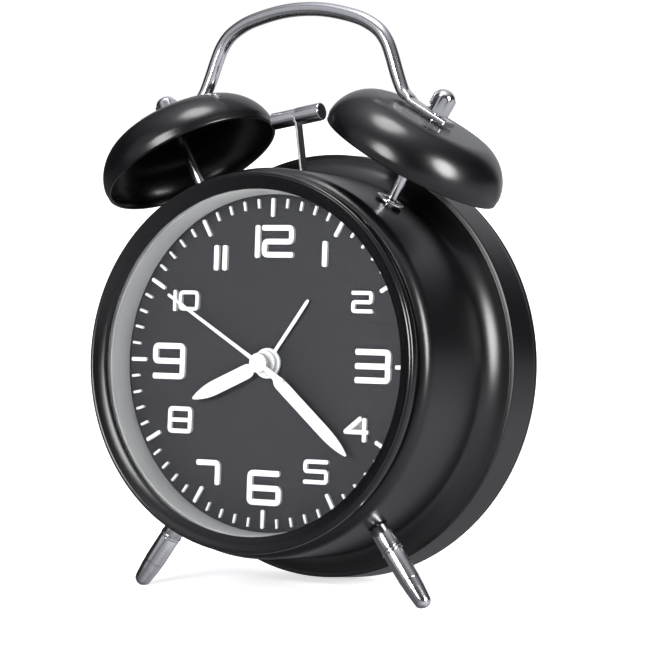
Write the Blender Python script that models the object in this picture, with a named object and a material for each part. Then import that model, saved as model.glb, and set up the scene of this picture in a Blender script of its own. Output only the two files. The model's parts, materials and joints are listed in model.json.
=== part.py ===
"""Twin-bell alarm clock: every piece its own object, in its working position.

Lengths are millimetres. The clock's own frame has its origin at the dial's centre,
x to the right, y to the back and z towards the twelve. The whole frame leans back.
"""

from math import cos, pi, radians, sin

import bmesh
import bpy
from mathutils import Vector

MM = 0.001

# How the clock stands
LEAN_DEG = 6.4
SHIFT_BACK = -15.65

# Case and front
SIDES = 40
CASE_WALL = 0.9
DRUM_R = 52.5
DRUM_END_Y = 21.5
STEP_R = 58.7
STEP_Y = 28.8
BAND_R = 59.3
BAND_END_Y = 42.7
OPENING_R = 46.3
LENS_R = 48.2
DIAL_R = 51.2
DIAL_THICK = 0.8

# Bells, posts and handle
BELL_TILT_DEG = 29.9
BELL_MOUTH = (35.03, 11.84, 54.94)
BELL_R = 25.5
BELL_TOP_R = 15.75
BELL_HEIGHT = 12.7
BELL_WALL = 0.9
BELL_SIDES = 24
POST_R = 1.5
STUD_R = 1.25
STUD_HOLE_R = 1.6
STRAP_HALF_WIDTH = 3.0
STRAP_HALF_THICK = 0.78
STRAP_H = 13.82
ROD_R = 1.94

# Feet
FOOT_BASE = (30.62, 8.03, -42.03)
FOOT_TIP = (45.07, 8.82, -61.65)
FOOT_R = 2.87

# Hammer
PIVOT = (4.5, 12.0, 34.4)
ARM_LEAN_DEG = -9.5
ARM_TO_HEAD = 33.76
ARM_HALF_WIDTH = 1.55
ARM_HALF_THICK = 0.3
HEAD_HALF_LENGTH = 7.85

# Hands: clock angles and lengths
HOUR_DEG = 245.6
MINUTE_DEG = 130.8
SECOND_DEG = 301.0
ALARM_DEG = 35.6

# Movement and back
STEM_AT = (12.0, 0.0, -4.0)
MOTOR_AT = (-14.5, 0.0, 36.5)
STRIKE_AT = (-4.4, 0.0, 36.5)
COVER_Y = (38.9, 40.4)
COVER_R = 57.2
SWITCH_AT = (-21.0, 0.0, 19.0)
BUTTON_AT = (21.0, 0.0, 19.0)
SCREW_R = 52.5
BATTERY_Z = (-18.15, -33.25)
BATTERY_Y = 31.25


# ---------------------------------------------------------------- shapes


def turned(profile, sides=24, axis="Y", hexed=()):
    """A closed (radius, height) outline turned about an axis. Rows in hexed are six-sided."""
    rows = []
    points = []
    for index, (radius, height) in enumerate(profile):
        if radius < 1e-6:
            rows.append(None)
            continue
        row = []
        for k in range(sides):
            angle = -pi / 2 + 2 * pi * k / sides
            reach = radius
            if index in hexed:
                reach = radius / cos((angle + pi / 6) % (pi / 3) - pi / 6)
            points.append((reach * cos(angle), reach * sin(angle), height))
            row.append(len(points) - 1)
        rows.append(row)
    faces = []
    for i in range(len(rows)):
        j = (i + 1) % len(rows)
        a, b = rows[i], rows[j]
        if a is None and b is None:
            continue
        if a is None or b is None:
            ring = a or b
            apex = profile[i][1] if a is None else profile[j][1]
            if abs(points[ring[0]][2] - apex) < 1e-6:
                faces.append(list(ring))
                continue
            points.append((0.0, 0.0, apex))
            for k in range(sides):
                faces.append([ring[k], ring[(k + 1) % sides], len(points) - 1])
            continue
        for k in range(sides):
            n = (k + 1) % sides
            faces.append([a[k], a[n], b[n], b[k]])
    if axis == "Y":
        points = [(x, z, y) for x, y, z in points]
    elif axis == "X":
        points = [(z, x, y) for x, y, z in points]
    return points, faces


def disc(radius, low, high, sides=16, axis="Y", bore=0.0):
    """A solid disc, or a ring when it has a bore."""
    if bore:
        return turned([(bore, low), (radius, low), (radius, high), (bore, high)], sides, axis)
    return turned([(0, low), (radius, low), (radius, high), (0, high)], sides, axis)


def block(low, high):
    """A box between two corners."""
    (x0, y0, z0), (x1, y1, z1) = low, high
    points = [(x, y, z) for z in (z0, z1) for y in (y0, y1) for x in (x0, x1)]
    faces = [[0, 1, 3, 2], [4, 5, 7, 6], [0, 1, 5, 4], [2, 3, 7, 6], [0, 2, 6, 4], [1, 3, 7, 5]]
    return points, faces


def plate(outline, y0, y1):
    """An (x, z) outline made solid from y0 to y1."""
    count = len(outline)
    points = [(x, y0, z) for x, z in outline] + [(x, y1, z) for x, z in outline]
    faces = [list(range(count)), list(range(count, 2 * count))]
    for k in range(count):
        n = (k + 1) % count
        faces.append([k, n, n + count, k + count])
    return points, faces


def merged(*shapes):
    """Several shapes that don't touch, as one list of points and faces."""
    points = []
    faces = []
    for more_points, more_faces in shapes:
        start = len(points)
        points += more_points
        faces += [[index + start for index in face] for face in more_faces]
    return points, faces


def boxed(value, square):
    """Pushes a sine or cosine outwards, towards a square outline."""
    sign = 1 if value > 0 else -1
    return sign * abs(value) ** (2 / square)


def swept(path, sections, sides=12):
    """A rod along an (x, z) path in the plane y = 0, each end closed.

    Each section is (half width across, half thickness, squareness): 2 is round, more is boxier.
    """
    points = []
    count = len(path)
    for i, (x, z) in enumerate(path):
        before = Vector(path[max(i - 1, 0)])
        after = Vector(path[min(i + 1, count - 1)])
        along = (after - before).normalized()
        across, thick, square = sections[i]
        for k in range(sides):
            angle = 2 * pi * k / sides
            reach = thick * boxed(cos(angle), square)
            side = across * boxed(sin(angle), square)
            points.append((x - along.y * reach, side, z + along.x * reach))
    faces = [list(range(sides)), list(range((count - 1) * sides, count * sides))]
    for i in range(count - 1):
        for k in range(sides):
            n = (k + 1) % sides
            faces.append(
                [i * sides + k, i * sides + n, (i + 1) * sides + n, (i + 1) * sides + k]
            )
    return points, faces


def eased(points, radius, steps=3, closed=False):
    """The same line with each corner rounded."""
    out = []
    count = len(points)
    for i in range(count):
        here = Vector(points[i])
        if not closed and i in (0, count - 1):
            out.append(tuple(here))
            continue
        back = Vector(points[i - 1]) - here
        ahead = Vector(points[(i + 1) % count]) - here
        reach = min(radius, back.length * 0.49, ahead.length * 0.49)
        first = here + back.normalized() * reach
        last = here + ahead.normalized() * reach
        for k in range(steps + 1):
            t = k / steps
            out.append(tuple(first * (1 - t) ** 2 + here * (2 * t * (1 - t)) + last * t**2))
    return out


def ribbon(points, width, closed=False):
    """The outline of a stroke along a line: one loop, or an outer and an inner loop."""
    sides = ([], [])
    count = len(points)
    for i in range(count):
        here = Vector(points[i])
        before = Vector(points[i - 1]) if closed or i else here
        after = Vector(points[(i + 1) % count]) if closed or i < count - 1 else here
        into = (here - before).normalized() if before != here else (after - here).normalized()
        out = (after - here).normalized() if after != here else into
        normal = Vector((-(into + out).y, (into + out).x)).normalized()
        reach = width / 2 / max(normal.dot(Vector((-into.y, into.x))), 0.35)
        sides[0].append(tuple(here + normal * reach))
        sides[1].append(tuple(here - normal * reach))
    if closed:
        return sides
    return sides[0] + sides[1][::-1]


def framed(outer, inner, y0, y1):
    """A closed stroke made solid: two loops of the same length, joined."""
    count = len(outer)
    points = [(x, y, z) for y in (y0, y1) for loop in (outer, inner) for x, z in loop]
    faces = []
    for k in range(count):
        n = (k + 1) % count
        rows = [0, count, 3 * count, 2 * count]
        for r in range(4):
            a = rows[r]
            b = rows[(r + 1) % 4]
            faces.append([a + k, a + n, b + n, b + k])
    return points, faces


# ---------------------------------------------------------------- objects


def material(name, colour, metallic, roughness):
    made = bpy.data.materials.new(name)
    made.use_nodes = True
    shader = made.node_tree.nodes["Principled BSDF"]
    shader.inputs["Base Color"].default_value = (*colour, 1.0)
    shader.inputs["Metallic"].default_value = metallic
    shader.inputs["Roughness"].default_value = roughness
    made.diffuse_color = (*colour, 1.0)
    return made


def frame(name, at, rotation, parent=None):
    made = bpy.data.objects.new(name, None)
    bpy.context.scene.collection.objects.link(made)
    made.location = Vector(at) * MM
    made.rotation_euler = rotation
    made.parent = parent
    return made


def face_outwards(work):
    """Turns the faces of each separate body to point out of it."""
    bmesh.ops.recalc_face_normals(work, faces=work.faces)
    left = set(work.faces)
    while left:
        body = {left.pop()}
        edge_of = list(body)
        while edge_of:
            face = edge_of.pop()
            for edge in face.edges:
                for other in edge.link_faces:
                    if other not in body:
                        body.add(other)
                        edge_of.append(other)
        left -= body
        volume = 0.0
        for a, b, c in work.calc_loop_triangles():
            if a.face in body:
                volume += a.vert.co.dot(b.vert.co.cross(c.vert.co))
        if volume < 0:
            bmesh.ops.reverse_faces(work, faces=list(body))


def make(name, shape, look, parent, at=(0, 0, 0), rotation=(0, 0, 0)):
    """Adds one closed piece to the scene."""
    points, faces = shape
    mesh = bpy.data.meshes.new(name)
    mesh.from_pydata([Vector(point) * MM for point in points], [], faces)
    work = bmesh.new()
    work.from_mesh(mesh)
    face_outwards(work)
    work.to_mesh(mesh)
    work.free()
    mesh.shade_smooth()
    mesh.set_sharp_from_angle(angle=radians(35))
    made = bpy.data.objects.new(name, mesh)
    bpy.context.scene.collection.objects.link(made)
    made.parent = parent
    made.location = Vector(at) * MM
    made.rotation_euler = rotation
    if look:
        mesh.materials.append(look)
    return made


def helper(target, shape, operation, parent, at=(0, 0, 0), rotation=(0, 0, 0)):
    """A hidden shape that is cut from a piece or joined to it."""
    name = f"{target.name}_{operation.lower()}_{len(target.modifiers)}"
    tool = make(name, shape, None, parent, at, rotation)
    tool.hide_render = True
    tool.display_type = "WIRE"
    step = target.modifiers.new(name, "BOOLEAN")
    step.operation = operation
    step.solver = "EXACT"
    step.object = tool


def cut(target, shape, parent, at=(0, 0, 0), rotation=(0, 0, 0)):
    helper(target, shape, "DIFFERENCE", parent, at, rotation)


def join(target, shape, parent, at=(0, 0, 0), rotation=(0, 0, 0)):
    helper(target, shape, "UNION", parent, at, rotation)


for old in list(bpy.data.objects):
    bpy.data.objects.remove(old, do_unlink=True)

black = material("satin_black_metal", (0.012, 0.012, 0.013), 0.3, 0.28)
chrome = material("polished_chrome", (0.72, 0.73, 0.75), 1.0, 0.12)
steel = material("brushed_steel", (0.55, 0.56, 0.58), 1.0, 0.3)
brass = material("brass", (0.75, 0.55, 0.25), 1.0, 0.3)
glass = material("clear_glass", (0.9, 0.92, 0.92), 0.0, 0.05)
grey = material("pale_grey_plastic", (0.5, 0.5, 0.49), 0.0, 0.45)
charcoal = material("charcoal_dial", (0.035, 0.036, 0.038), 0.0, 0.6)
white = material("white_enamel", (0.85, 0.85, 0.83), 0.0, 0.4)
dark_plastic = material("dark_plastic", (0.02, 0.02, 0.021), 0.0, 0.5)
nylon = material("pale_nylon", (0.75, 0.74, 0.68), 0.0, 0.5)
board = material("circuit_board_green", (0.03, 0.16, 0.07), 0.0, 0.4)
copper = material("copper_winding", (0.6, 0.25, 0.1), 0.8, 0.35)
cell = material("battery_jacket", (0.05, 0.06, 0.09), 0.2, 0.35)

# The drum flares out to a short step, and a slightly tapered band runs to the rear rim
FLARE = [(52.6, 22.6), (52.9, 23.7), (53.4, 24.8), (54.4, 26.1), (55.8, 27.5), (57.4, 28.5)]
case_profile = [(50.1, -7.1), (50.9, -6.6), (51.9, -5.6), (52.4, -4.4), (DRUM_R, -3.0)]
case_profile += [(DRUM_R, DRUM_END_Y), *FLARE]
case_profile += [(STEP_R, STEP_Y), (BAND_R, 41.8), (59.15, 42.5), (58.8, BAND_END_Y)]
case_profile += [(58.3, 42.3), (57.8, STEP_Y + 0.8), (56.9, STEP_Y + 0.6)]
case_profile += [(radius - 0.75 * CASE_WALL, y + 0.75 * CASE_WALL) for radius, y in FLARE[4:1:-1]]
case_profile += [(51.6, DRUM_END_Y), (51.6, -3.0), (50.9, -4.6), (49.5, -5.4), (49.5, -7.1)]

lean = radians(LEAN_DEG)
lift = max(radius * cos(lean) + y * sin(lean) for radius, y in case_profile)
root = frame("clock_frame", (0, SHIFT_BACK, lift), (-lean, 0, 0))

# ---------------------------------------------------------------- case and front

case = make("case_shell", turned(case_profile, SIDES), black, root)

bezel_profile = [
    (OPENING_R, -10.2),
    (48.2, -11.45),
    (49.9, -12.2),
    (50.65, -11.9),
    (51.0, -11.0),
    (51.0, -9.9),
    (50.5, -8.6),
    (50.1, -7.4),
    (49.15, -7.4),
    (49.15, -4.6),
    (48.5, -4.6),
    (48.5, -9.6),
    (OPENING_R, -9.6),
]
make("bezel_ring", turned(bezel_profile, SIDES), black, root)
make("lens", disc(LENS_R, -9.3, -8.2, SIDES), glass, root)

reflector_profile = [
    (46.25, -7.9),
    (LENS_R, -7.9),
    (LENS_R, -7.1),
    (47.0, -7.1),
    (46.5, -0.3),
    (45.5, -0.3),
]
make("reflector_ring", turned(reflector_profile, SIDES), grey, root)

# Numerals: stroke width, corner radius, closed, and the line through (x, z) points
NUMERALS = [
    (1.5, 0, False, [(-4.45, 28.3), (-4.45, 37.2)]),
    (
        1.5,
        1.7,
        False,
        [(-3.1, 36.45), (6.25, 36.45), (6.25, 32.75), (-2.25, 32.75), (-2.25, 29.2), (6.9, 29.2)],
    ),
    (1.5, 0, False, [(16.8, 26.1), (16.8, 33.0)]),
    (
        1.05,
        1.05,
        False,
        [(25.6, 19.35), (31.5, 19.35), (31.5, 16.9), (26.1, 16.9), (26.1, 14.5), (32.1, 14.5)],
    ),
    (1.6, 1.6, False, [(27.3, 3.8), (37.3, 3.8), (37.3, -3.65), (27.3, -3.65)]),
    (1.2, 0, False, [(29.9, -13.5), (25.0, -17.35), (32.0, -17.35)]),
    (
        1.1,
        1.2,
        False,
        [(20.1, -25.75), (13.0, -25.75), (13.0, -28.3), (19.6, -28.3), (19.6, -31.15), (12.5, -31.15)],
    ),
    (
        1.6,
        1.7,
        False,
        [(5.0, -29.6), (-4.3, -29.6), (-4.3, -37.4), (4.85, -37.4), (4.85, -33.6), (-3, -33.6)],
    ),
    (1.5, 1.6, False, [(-21.8, -27.5), (-14.85, -27.5), (-14.85, -33.5)]),
    (1.2, 1.3, True, [(-31.0, -13.2), (-24.4, -13.2), (-24.4, -19.3), (-31.0, -19.3)]),
    (
        1.6,
        1.7,
        False,
        [(-37.2, -4.4), (-27.5, -4.4), (-27.5, 3.9), (-36.5, 3.9), (-36.5, -0.25), (-29, -0.25)],
    ),
    (1.05, 0, False, [(-30.7, 13.5), (-30.7, 19.3)]),
    (1.05, 1.6, True, [(-28.9, 14.2), (-23.4, 14.2), (-23.4, 18.7), (-28.9, 18.7)]),
    (1.5, 0, False, [(-17.55, 24.8), (-17.55, 31.7)]),
    (1.5, 0, False, [(-14.8, 24.8), (-14.8, 31.7)]),
]
# Strokes that cross or close a numeral
CROSS_STROKES = [
    (1.5, [(27.8, 0.05), (37.2, 0.05)]),
    (1.2, [(30.75, -13.4), (30.75, -20.0)]),
    (1.6, [(-3.4, -33.62), (-4.5, -33.62)]),
    (1.15, [(-30.8, -16.25), (-24.6, -16.25)]),
    (1.6, [(-29.4, -0.27), (-27.3, -0.27)]),
]
FIGURE_Y = (-0.65, 0.4)

strokes = []
for width, corner, closed, line in NUMERALS:
    line = eased(line, corner, 3, closed) if corner else line
    if closed:
        strokes.append(framed(*ribbon(line, width, True), *FIGURE_Y))
    else:
        strokes.append(plate(ribbon(line, width), *FIGURE_Y))
crossing = [plate(ribbon(line, width), -0.62, 0.35) for width, line in CROSS_STROKES]
ticks = []
for minute in range(60):
    on_hour = minute % 5 == 0
    inner, half = (39.4, 0.55) if on_hour else (41.9, 0.36)
    turn = radians(6 * minute)
    line = [(inner * sin(turn), inner * cos(turn)), (44.5 * sin(turn), 44.5 * cos(turn))]
    ticks.append(plate(ribbon(line, 2 * half), *FIGURE_Y))

dial = make("dial", disc(DIAL_R, 0, DIAL_THICK, SIDES), charcoal, root)
join(dial, merged(*strokes, *ticks), root)
join(dial, merged(*crossing), root)
cut(dial, disc(3.4, -2, 2, 20), root)

# ---------------------------------------------------------------- bells, posts, handle


def bell_profile():
    """The bell's outline in (radius, height above its mouth)."""
    power = 2 / 1.774
    outer = [(BELL_R - 0.2, 0), (BELL_R - 0.2, 1.2)]
    for deg in (0, 18, 36, 54, 72, 90):
        turn = radians(deg)
        outer.append(
            (
                BELL_TOP_R + (BELL_R - BELL_TOP_R) * max(cos(turn), 0) ** power,
                2 + (BELL_HEIGHT - 2.1) * sin(turn) ** power,
            )
        )
    outer += [(7.0, BELL_HEIGHT), (STUD_HOLE_R, BELL_HEIGHT)]
    inner = [(STUD_HOLE_R, BELL_HEIGHT - BELL_WALL), (15.2, BELL_HEIGHT - BELL_WALL - 0.1)]
    for deg in (66, 44, 22, 0):
        turn = radians(deg)
        inner.append(
            (
                15.2 + (BELL_R - BELL_WALL - 15.2) * cos(turn) ** power,
                2 + (BELL_HEIGHT - BELL_WALL - 2.1) * sin(turn) ** power,
            )
        )
    inner.append((BELL_R - 0.2 - BELL_WALL, 0))
    return outer + inner


nut_profile = [(STUD_HOLE_R, 14.92), (2.85, 14.92), (3.08, 15.15), (3.08, 20.0)]
nut_profile += [(2.75, 20.7), (2.1, 21.4), (1.2, 21.75), (0, 21.88), (0, 19.0), (STUD_HOLE_R, 19.0)]
post_profile = [(0, -17.5), (POST_R, -17.5), (POST_R, 10.3), (3.0, 10.5), (3.0, 11.5)]
post_profile += [(STUD_R, 11.5), (STUD_R, 18.6), (0, 18.6)]
washer_profile = [(1.8, -12.1), (4.05, -12.1), (4.05, -11.7), (3.8, -11.5), (1.8, -11.5)]
inner_nut_profile = [(1.8, -16.6), (3.0, -16.6), (3.0, -14.3), (1.8, -14.3)]

bell_frames = {}
for side, sign in (("left", -1), ("right", 1)):
    x, y, z = BELL_MOUTH
    tilt = radians(sign * BELL_TILT_DEG)
    here = frame(f"bell_frame_{side}", (sign * x, y, z), (0, tilt, 0), root)
    bell_frames[side] = here
    make(f"bell_{side}", turned(bell_profile(), BELL_SIDES, "Z"), black, here)
    make(f"bell_post_{side}", turned(post_profile, 12, "Z"), chrome, here)
    make(f"post_washer_{side}", turned(washer_profile, 16, "Z"), chrome, here)
    make(f"post_nut_{side}", turned(inner_nut_profile, 12, "Z", (1, 2)), steel, here)
    make(f"bell_nut_{side}", turned(nut_profile, 12, "Z", (1, 2, 3)), chrome, here)
    cut(case, disc(1.9, -20, -8, 12, "Z"), here)

# Right half of the handle's centre line and its (across, thick) half sizes
tilt = radians(BELL_TILT_DEG)


def over_bell(inward, height):
    """A point over the right bell, inward of its axis and above its mouth."""
    x = BELL_MOUTH[0] + height * sin(tilt) - inward * cos(tilt)
    z = BELL_MOUTH[2] + height * cos(tilt) + inward * sin(tilt)
    return (x, z)


HALF_HANDLE = [
    ((0, 97.1), ROD_R, ROD_R, 2),
    ((5.5, 96.82), ROD_R, ROD_R, 2),
    ((11.0, 95.9), ROD_R, ROD_R, 2),
    ((17.0, 94.3), ROD_R, ROD_R, 2),
    ((20.9, 92.55), ROD_R, ROD_R, 2),
    ((24.1, 90.3), ROD_R, ROD_R, 2),
    ((26.4, 87.3), ROD_R, ROD_R, 2),
    ((28.0, 83.7), ROD_R, ROD_R, 2),
    ((29.6, 79.2), ROD_R, ROD_R, 2),
    ((31.1, 75.5), 2.0, 1.85, 2),
    ((32.3, 73.4), 2.15, 1.6, 2.3),
    (over_bell(9.6, 14.38), 2.4, 1.22, 2.8),
    (over_bell(8.3, 13.95), 2.75, 0.9, 3.6),
    (over_bell(6.6, STRAP_H), STRAP_HALF_WIDTH, STRAP_HALF_THICK, 5),
    (over_bell(2.4, STRAP_H), STRAP_HALF_WIDTH, STRAP_HALF_THICK, 5),
    (over_bell(-2.4, STRAP_H), STRAP_HALF_WIDTH, STRAP_HALF_THICK, 5),
    (over_bell(-4.75, STRAP_H), STRAP_HALF_WIDTH, STRAP_HALF_THICK, 5),
]
path = [(-x, z) for (x, z), *_ in HALF_HANDLE[:0:-1]] + [row[0] for row in HALF_HANDLE]
sizes = [row[1:] for row in HALF_HANDLE[:0:-1]] + [row[1:] for row in HALF_HANDLE]
handle = make("handle", swept(path, sizes), chrome, root, (0, BELL_MOUTH[1], 0))
for here in bell_frames.values():
    cut(handle, disc(STUD_HOLE_R, 10, 17, 12, "Z"), here)

# ---------------------------------------------------------------- feet


def trimmed_at_floor(piece):
    """Gives the tip the small flat that it stands on."""
    bpy.context.view_layer.update()
    to_local = piece.matrix_world.inverted()
    work = bmesh.new()
    work.from_mesh(piece.data)
    bmesh.ops.bisect_plane(
        work,
        geom=work.verts[:] + work.edges[:] + work.faces[:],
        plane_co=to_local @ Vector((0, 0, 0)),
        plane_no=to_local.to_3x3() @ Vector((0, 0, -1)),
        clear_outer=True,
    )
    open_edges = [edge for edge in work.edges if edge.is_boundary]
    bmesh.ops.edgeloop_fill(work, edges=open_edges)
    face_outwards(work)
    work.to_mesh(piece.data)
    work.free()


foot_profile = [(1.5, 0.85), (FOOT_R, 0.85), (FOOT_R, 7.6), (3.05, 7.75), (3.05, 8.3)]
foot_profile += [(FOOT_R, 8.45), (FOOT_R, 17.2), (2.76, 19.4), (2.58, 21.0), (2.42, 22.7)]
foot_profile += [(2.3, 23.9), (2.12, 24.5), (1.75, 25.05), (1.2, 25.45), (0.6, 25.65), (0, 25.7)]
foot_profile += [(0, 8.0), (1.5, 8.0)]
screw_profile = [(0, -4.2), (2.6, -4.2), (3.0, -3.8), (3.0, -1.5), (1.15, -1.5), (1.15, 7.6)]
screw_profile += [(0, 7.6)]
for side, sign in (("left", -1), ("right", 1)):
    base = Vector((sign * FOOT_BASE[0], FOOT_BASE[1], FOOT_BASE[2]))
    tip = Vector((sign * FOOT_TIP[0], FOOT_TIP[1], FOOT_TIP[2]))
    aim = (tip - base).to_track_quat("Z", "Y").to_euler()
    foot = make(f"foot_{side}", turned(foot_profile, 14, "Z"), chrome, root, base, aim)
    trimmed_at_floor(foot)
    make(f"foot_screw_{side}", turned(screw_profile, 12, "Z"), steel, root, base, aim)
    cut(case, disc(1.5, -4, 4, 12, "Z"), root, base, aim)

# ---------------------------------------------------------------- hammer and its drive

hammer = frame("hammer_axis", PIVOT, (0, radians(ARM_LEAN_DEG), 0), root)
arm = make(
    "hammer_arm",
    block(
        (-ARM_HALF_THICK, -ARM_HALF_WIDTH, 1.8),
        (ARM_HALF_THICK, ARM_HALF_WIDTH, ARM_TO_HEAD + 1.7),
    ),
    steel,
    hammer,
)
join(arm, disc(2.2, -1.5, 1.5, 16, bore=1.2), hammer)
cut(arm, disc(1.15, -2, 2, 12, "X"), hammer, (0, 0, ARM_TO_HEAD))
left_head = [(0, -HEAD_HALF_LENGTH), (1.9, -HEAD_HALF_LENGTH), (2.3, -7.45), (2.3, -0.6)]
left_head += [(0.85, -0.6), (0.85, 4.0), (0, 4.0)]
right_head = [(1.15, 0.6), (2.45, 0.6), (2.45, 7.45), (2.05, HEAD_HALF_LENGTH)]
right_head += [(0, HEAD_HALF_LENGTH), (0, 4.4), (1.15, 4.4)]
head_at = (0, 0, ARM_TO_HEAD)
make("hammer_head_left", turned(left_head, 16, "X"), chrome, hammer, head_at)
make("hammer_head_right", turned(right_head, 16, "X"), chrome, hammer, head_at)
cut(case, block((-1.6, 9.7, 49), (6.0, 14.3, 56)), root)

make("hammer_pivot_pin", disc(0.85, -5.0, 5.6, 12), steel, root, PIVOT)
bracket = make("strike_bracket", block((-22, 7.6, 30.2), (9.5, 8.6, 44)), steel, root)
join(bracket, block((8.3, 7.9, 30.6), (9.3, 16.9, 43)), root)
join(bracket, block((-0.5, 15.9, 30.8), (9.1, 16.7, 42.8)), root)
for x, z, radius in (
    (PIVOT[0], PIVOT[2], 1.2),
    (MOTOR_AT[0], MOTOR_AT[2], 1.4),
    (STRIKE_AT[0], STRIKE_AT[2], 1.2),
):
    cut(bracket, disc(radius, 5, 20, 12), root, (x, 0, z))

motor_profile = [(0, 9.2), (3.0, 9.2), (3.0, 9.9), (7.2, 9.9), (7.2, 27.0), (0, 27.0)]
make("bell_motor", turned(motor_profile, 16), steel, root, MOTOR_AT)
pinion_profile = [(0, 3.2), (2.2, 3.2), (2.2, 6.0), (0.9, 6.0), (0.9, 8.8), (0, 8.8)]
make("motor_pinion", turned(pinion_profile, 12), brass, root, MOTOR_AT)
strike_profile = [(0, 3.2), (7.6, 3.2), (7.6, 4.8), (2.0, 4.8), (2.0, 7.2), (0.85, 7.2)]
strike_profile += [(0.85, 9.6), (0, 9.6)]
strike = make("strike_wheel", turned(strike_profile, 16), nylon, root, STRIKE_AT)
join(strike, disc(0.8, 4.4, 7.1, 10), root, (STRIKE_AT[0] + 5.0, 0, STRIKE_AT[2]))

# ---------------------------------------------------------------- movement

front = make("movement_case_front", block((-28, 1.2, -28), (28, 8.9, 28)), nylon, root)
cut(front, block((-26.8, 2.4, -26.8), (26.8, 10, 26.8)), root)
cut(front, disc(3.4, 0, 4, 20), root)
rear = make("movement_case_rear", block((-28, 9.2, -28), (28, 16, 28)), nylon, root)
cut(rear, block((-26.8, 8, -26.8), (26.8, 14.8, 26.8)), root)
for sign in (-1, 1):
    cut(rear, disc(1.9, 13, 18, 12), root, (sign * STEM_AT[0], 0, STEM_AT[2]))
make("circuit_board", block((-20, 12.4, 8), (20, 13.4, 25)), board, root)
coil_profile = [(0, -10), (4.2, -10), (4.2, -9), (3.4, -9), (3.4, 9), (4.2, 9), (4.2, 10), (0, 10)]
make("step_coil", turned(coil_profile, 14, "X"), copper, root, (0, 7.5, 18.5))


def wheel(name, radius, wheel_y, pipe, pipe_y, bore, look):
    """A wheel moulded in one piece with its pipe."""
    low, high = wheel_y
    profile = [(bore, pipe_y), (pipe, pipe_y), (pipe, low), (radius, low), (radius, high)]
    profile.append((bore, high))
    if not bore:
        profile = [(0, pipe_y)] + profile[1:-1] + [(0, high)]
    return make(name, turned(profile, 16), look, root)


wheel("alarm_wheel", 7.4, (3.2, 4.2), 3.0, -0.3, 2.35, nylon)
wheel("hour_wheel", 8.0, (4.9, 5.9), 2.05, -1.4, 1.6, nylon)
wheel("minute_wheel", 7.5, (6.7, 7.7), 1.3, -2.85, 0.85, brass)
wheel("second_wheel", 9.0, (8.6, 9.6), 0.5, -4.55, 0, brass)

time_profile = [(0, 6.6), (4.8, 6.6), (4.8, 7.8), (1.5, 7.8), (1.5, 45.2), (0, 45.2)]
alarm_profile = [(0, 3.1), (4.9, 3.1), (4.9, 4.3), (1.5, 4.3), (1.5, 45.2), (0, 45.2)]
time_at = STEM_AT
alarm_at = (-STEM_AT[0], 0.0, STEM_AT[2])
make("time_stem", turned(time_profile, 14), brass, root, time_at)
make("alarm_stem", turned(alarm_profile, 14), brass, root, alarm_at)

# ---------------------------------------------------------------- hands


def hand(name, deg, ring, outline, hand_y):
    """A flat hand with a round boss: ring is (radius, bore, y0, y1)."""
    radius, bore, low, high = ring
    here = make(name, disc(radius, low, high, 16, bore=bore), white, root)
    here.rotation_euler = (0, radians(deg), 0)
    flat = plate(outline, *hand_y)
    join(here, flat, root, (0, 0, 0), (0, radians(deg), 0))
    return here


def both_sides(half):
    """A symmetric outline from its right half, from base to tip."""
    return half + [(-x, z) for x, z in half[::-1] if x > 0]


hour_half = [(0.9, 2.7), (0.95, 3.8), (1.7, 4.3), (2.02, 5.4), (2.02, 18.0), (1.7, 20.2)]
hour_half += [(1.05, 22.8), (0, 24.9)]
minute_half = [(0.7, 1.3), (0.72, 6.0), (1.2, 6.5), (1.7, 7.8), (1.7, 27.0), (1.45, 30.5)]
minute_half += [(0.85, 34.0), (0, 36.3)]
second_half = [(0.65, -9.3), (0.6, 0), (0.47, 6.0), (0.42, 34.6)]
alarm_half = [(0.55, 3.4), (0.5, 20.2), (0.25, 21.2)]
hand("alarm_hand", ALARM_DEG, (4.1, 2.6, -1.25, -0.6), both_sides(alarm_half), (-1.2, -0.8))
hand("hour_hand", HOUR_DEG, (3.4, 1.65, -2.75, -1.7), both_sides(hour_half), (-2.7, -2.3))
hand("minute_hand", MINUTE_DEG, (1.95, 0.85, -4.4, -3.15), both_sides(minute_half), (-4.35, -3.95))
hand("second_hand", SECOND_DEG, (2.8, 0, -6.0, -4.85), both_sides(second_half), (-5.8, -5.45))

# ---------------------------------------------------------------- back

cover = make("back_cover", disc(COVER_R, *COVER_Y, SIDES), dark_plastic, root)
join(cover, block((-28.6, 22.6, -41.8), (28.6, 39.4, -9.8)), root)
cut(cover, block((-27.6, 23.6, -40.8), (27.6, 41, -10.8)), root)
for sign in (-1, 1):
    cut(cover, disc(1.9, 37, 42, 12), root, (sign * STEM_AT[0], 0, STEM_AT[2]))
cut(cover, block((-25.7, 37, 17.5), (-16.3, 42, 20.5)), root)
cut(cover, disc(4.0, 37, 42, 20), root, BUTTON_AT)

door = make("battery_door", block((-27.3, 38.9, -40.5), (27.3, 40.4, -11.1)), dark_plastic, root)
for row in range(4):
    join(door, block((-8, 40.2, -15.2 - 2 * row), (8, 41.0, -14.2 - 2 * row)), root)

knob_profile = [(1.8, 40.8), (5.6, 40.8), (6.0, 41.3), (6.0, 46.4), (5.5, 46.9), (0, 46.9)]
knob_profile += [(0, 45.5), (1.8, 45.5)]
make("time_knob", turned(knob_profile, 16), dark_plastic, root, time_at)
make("alarm_knob", turned(knob_profile, 16), dark_plastic, root, alarm_at)

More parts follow.
